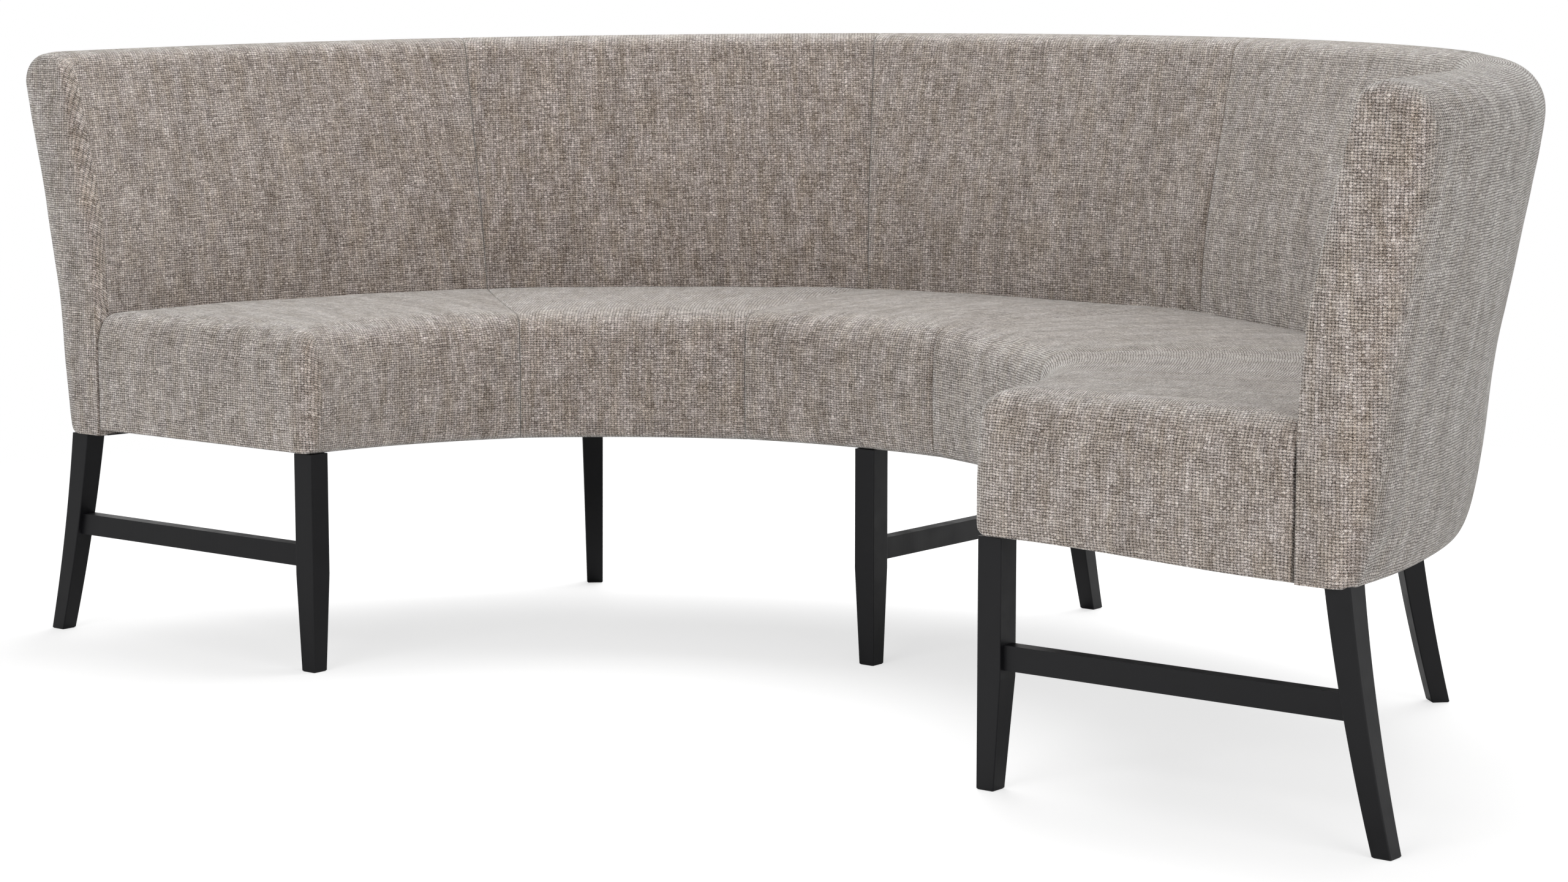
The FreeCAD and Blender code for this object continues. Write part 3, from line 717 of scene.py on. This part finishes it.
    # Broad dark streaks and olive patches, longer along the warp than across it
    broad = patches(38.4615, 200, 6.0, 0.7, 0.3, 0.7, 0.88, 1.12)
    olive = patches(16.6667, 62.5, 5.0, 0.65, 0.38, 0.66, 0.0, 0.7)
    dyed = node(tree, "ShaderNodeMix", {"data_type": "RGBA", "blend_type": "MULTIPLY"},
                {0: olive, 6: ramp.outputs[0]}, {7: linear("#e3ddd0")}).outputs[2]
    # Painted shade and light of the round yarns: the colour is darkened down to 0.06 in the holes
    # and along the yarns' sides, and lightened up to 1.2 on the yarns' crowns
    gap = node(tree, "ShaderNodeMapRange", None, {0: height},
               {1: -0.2, 2: 0.95, 3: 0.06, 4: 1.2}).outputs[0]
    gap = node(tree, "ShaderNodeMath", {"operation": "MULTIPLY"}, {0: gap, 1: broad}).outputs[0]
    shade = node(tree, "ShaderNodeMix", {"data_type": "RGBA", "blend_type": "MULTIPLY"},
                 {6: dyed, 7: gap}, {0: 1.0}).outputs[2]
    relief = node(tree, "ShaderNodeMath", {"operation": "MULTIPLY_ADD"},
                  {0: fibre, 2: height}, {1: 1.2}).outputs[0]
    bump = node(tree, "ShaderNodeBump", None, {"Height": relief},
                {"Strength": 1.0, "Distance": 0.9 / metre}).outputs[0]
    bloom = node(tree, "ShaderNodeMath", {"operation": "MULTIPLY_ADD"}, {0: tone_and_glint},
                 {1: 0.8, 2: 0.6}).outputs[0]
    for _ in range(2):
        bloom = node(tree, "ShaderNodeMath", {"operation": "MULTIPLY"},
                     {0: bloom, 1: gap}).outputs[0]
    surface = node(tree, "ShaderNodeBsdfPrincipled", None,
                   {"Base Color": shade, "Normal": bump, "Sheen Weight": bloom},
                   {"Roughness": 0.95, "Sheen Roughness": 0.34, "Sheen Tint": linear("#f0f3f2"),
                    "Specular IOR Level": 0.1})
    node(tree, "ShaderNodeOutputMaterial", None, {0: surface.outputs[0]})
    return made


def black_lacquered_beech():
    """Beech turned black by a satin lacquer: an even, nearly black colour with slight clouds in its
    gloss and a faint grain relief along the leg, 2.5 mm wide and 83 mm long."""
    made, tree = material("black_lacquered_beech")
    spot = node(tree, "ShaderNodeTexCoord").outputs["Object"]
    grain = node(tree, "ShaderNodeMapping", None, {0: spot},
                 {"Scale": (metre / 2.5, metre / 2.5, metre / 83.333)}).outputs[0]
    grain = node(tree, "ShaderNodeTexNoise", None, {"Vector": grain},
                 {"Scale": 1.0, "Detail": 3.0}).outputs[0]
    cloud = node(tree, "ShaderNodeTexNoise", None, {"Vector": spot},
                 {"Scale": metre / 33.333, "Detail": 3.0}).outputs[0]
    colour = node(tree, "ShaderNodeMix", {"data_type": "RGBA"}, {0: cloud},
                  {6: linear("#08080a"), 7: linear("#0e0e11")}).outputs[2]
    rough = node(tree, "ShaderNodeMapRange", None, {0: cloud},
                 {1: 0.3, 2: 0.7, 3: 0.38, 4: 0.5}).outputs[0]
    bump = node(tree, "ShaderNodeBump", None, {"Height": grain},
                {"Strength": 0.12, "Distance": 0.4 / metre}).outputs[0]
    surface = node(tree, "ShaderNodeBsdfPrincipled", None,
                   {"Base Color": colour, "Roughness": rough, "Normal": bump},
                   {"IOR": 1.5, "Specular IOR Level": 0.25})
    node(tree, "ShaderNodeOutputMaterial", None, {0: surface.outputs[0]})
    return made


def spunbond_bottom_cloth():
    """Thin black polypropylene felt stapled under the seat: matt, with a fibre relief that is drawn
    at 1.4 mm to show."""
    made, tree = material("spunbond_bottom_cloth")
    spot = node(tree, "ShaderNodeTexCoord").outputs["Object"]
    fibres = node(tree, "ShaderNodeTexNoise", None, {"Vector": spot},
                  {"Scale": metre / 1.4286, "Detail": 3.0}).outputs[0]
    colour = node(tree, "ShaderNodeMix", {"data_type": "RGBA"}, {0: fibres},
                  {6: linear("#1b1b1c"), 7: linear("#2c2c2e")}).outputs[2]
    bump = node(tree, "ShaderNodeBump", None, {"Height": fibres},
                {"Strength": 0.4, "Distance": 0.3 / metre}).outputs[0]
    surface = node(tree, "ShaderNodeBsdfPrincipled", None, {"Base Color": colour, "Normal": bump},
                   {"Roughness": 0.9})
    node(tree, "ShaderNodeOutputMaterial", None, {0: surface.outputs[0]})
    return made


def sawn_pine():
    """Plain sawn pine of the frame: pale, with darker growth rings about 40 mm apart."""
    made, tree = material("sawn_pine")
    spot = node(tree, "ShaderNodeTexCoord").outputs["Object"]
    rings = node(tree, "ShaderNodeTexWave", {"wave_type": "RINGS"}, {"Vector": spot},
                 {"Scale": metre / 40, "Distortion": 4.0, "Detail": 2.0}).outputs["Fac"]
    colour = node(tree, "ShaderNodeMix", {"data_type": "RGBA"}, {0: rings},
                  {6: linear("#d2ab77"), 7: linear("#b98b56")}).outputs[2]
    surface = node(tree, "ShaderNodeBsdfPrincipled", None, {"Base Color": colour},
                   {"Roughness": 0.7})
    node(tree, "ShaderNodeOutputMaterial", None, {0: surface.outputs[0]})
    return made


def zinc_plated_steel():
    """Zinc plated bolt steel: bright grey with a slightly cloudy finish."""
    made, tree = material("zinc_plated_steel")
    spot = node(tree, "ShaderNodeTexCoord").outputs["Object"]
    cloud = node(tree, "ShaderNodeTexNoise", None, {"Vector": spot},
                 {"Scale": metre / 5}).outputs[0]
    rough = node(tree, "ShaderNodeMapRange", None, {0: cloud},
                 {1: 0.3, 2: 0.7, 3: 0.3, 4: 0.45}).outputs[0]
    surface = node(tree, "ShaderNodeBsdfPrincipled", None, {"Roughness": rough},
                   {"Base Color": linear("#bcbec2"), "Metallic": 1.0})
    node(tree, "ShaderNodeOutputMaterial", None, {0: surface.outputs[0]})
    return made


fabric = chenille_plain_weave()
lacquer = black_lacquered_beech()
felt = spunbond_bottom_cloth()
pine = sawn_pine()
steel = zinc_plated_steel()

# The CAD pieces that stay: legs, stretchers, frame, bolts and bottom cloths
for name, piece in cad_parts.items():
    if name.startswith(("seat_cover", "back_cover", "seat_foam", "back_foam")):
        continue
    if name.startswith(("leg_bolts", "back_joint_bolts")):
        finish = steel
    elif name.startswith(("leg_", "stretcher_left", "stretcher_middle", "stretcher_right")):
        finish = lacquer
    elif name.endswith("bottom_cloth"):
        finish = felt
    else:
        finish = pine
    for slot in piece.material_slots:
        slot.material = finish

# The ten upholstered panels
panels = []
for panel, (low, high) in enumerate(panel_limits):
    steps = round(math.radians(high - low) * back_inner_radius / face_step)
    seat = upholstered("seat_panel_%d" % (panel + 1), panel, seat_section, seat_end_draw,
                       seat_across, seat_up, round(steps * seat_step_share), seat_drift, seat_droop,
                       seat_across, lambda i, k, z: k == 0 or i == seat_across)
    back = upholstered("back_panel_%d" % (panel + 1), panel, back_section, back_end_draw,
                       back_across, back_up, steps, back_drift, back_droop, 0,
                       lambda i, k, z: (k == 0 or k > back_up - pinned_rim
                                        or (i < 2 and z < pinned_below)))
    panels += [(seat, "seat", panel + 1), (back, "back", panel + 1)]
puff_up([piece for piece, _, _ in panels])
for piece, kind, number in panels:
    unevenness(piece)
    piece.data.materials.append(fabric)
    soft = piece.modifiers.new("subdivision", "SUBSURF")
    soft.levels = 1
    soft.render_levels = 1
    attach(piece, "root")
    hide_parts("%s_cover_%d" % (kind, number), "%s_foam_%d" % (kind, number))


# Floor, backdrop and light
def studio_floor():
    """Matt white paper: it keeps the bench's soft shadow, and turns a full white to the camera from
    1.9 m to 2.6 m away."""
    made, tree = material("studio_floor")
    seen = node(tree, "ShaderNodeLightPath").outputs["Is Camera Ray"]
    paper = node(tree, "ShaderNodeBsdfDiffuse", None, None, {"Color": linear("#e8e8e8")}).outputs[0]
    shown = node(tree, "ShaderNodeBsdfDiffuse", None, None, {"Color": linear("#b3b3b3")}).outputs[0]
    glow = node(tree, "ShaderNodeEmission", None, None, {"Strength": 0.64}).outputs[0]
    near = node(tree, "ShaderNodeAddShader", None, {0: shown, 1: glow}).outputs[0]
    white = node(tree, "ShaderNodeEmission", None, None, {"Strength": 1.0}).outputs[0]
    spot = node(tree, "ShaderNodeTexCoord").outputs["Object"]
    away = node(tree, "ShaderNodeVectorMath", {"operation": "LENGTH"}, {0: spot}).outputs["Value"]
    away = node(tree, "ShaderNodeMapRange", None, {0: away},
                {1: 1.9, 2: 2.6, 3: 0.0, 4: 1.0}).outputs[0]
    shown = node(tree, "ShaderNodeMixShader", None, {0: away, 1: near, 2: white}).outputs[0]
    mixed = node(tree, "ShaderNodeMixShader", None, {0: seen, 1: paper, 2: shown}).outputs[0]
    node(tree, "ShaderNodeOutputMaterial", None, {0: mixed})
    return made


mesh = bmesh.new()
bmesh.ops.create_grid(mesh, x_segments=1, y_segments=1, size=20.0)
data = bpy.data.meshes.new("floor")
mesh.to_mesh(data)
mesh.free()
floor = bpy.data.objects.new("floor", data)
bpy.context.scene.collection.objects.link(floor)
floor.data.materials.append(studio_floor())

world = bpy.data.worlds.new("studio")
bpy.context.scene.world = world
world.use_nodes = True
tree = world.node_tree
tree.nodes.clear()
paths = node(tree, "ShaderNodeLightPath").outputs
seen = paths["Is Camera Ray"]
for ray in ("Is Glossy Ray", "Is Transmission Ray"):
    seen = node(tree, "ShaderNodeMath", {"operation": "MAXIMUM"},
                {0: seen, 1: paths[ray]}).outputs[0]
strength = node(tree, "ShaderNodeMapRange", None, {0: seen},
                {1: 0.0, 2: 1.0, 3: 0.45, 4: 1.0}).outputs[0]
sky = node(tree, "ShaderNodeBackground", None, {"Strength": strength},
           {"Color": linear("#ffffff")})
node(tree, "ShaderNodeOutputWorld", None, {0: sky.outputs[0]})

# Soft boxes: place and size in metres, power in watts. All are aimed at the middle of the seat.
aim = Vector((0.0, 0.0, 0.4))
for name, spot, size, power in (("top", (-0.5, 1.3, 3.0), 3.0, 129.0),
                                ("front", (0.5, -4.5, 2.0), 2.4, 70.0),
                                ("right", (4.2, -1.5, 2.0), 2.4, 50.0)):
    light = bpy.data.lights.new(name, "AREA")
    light.size = size
    light.energy = power
    lamp = bpy.data.objects.new(name, light)
    lamp.location = spot
    lamp.rotation_euler = (aim - Vector(spot)).to_track_quat("-Z", "Y").to_euler()
    bpy.context.scene.collection.objects.link(lamp)

bpy.context.scene.view_settings.view_transform = "Standard"
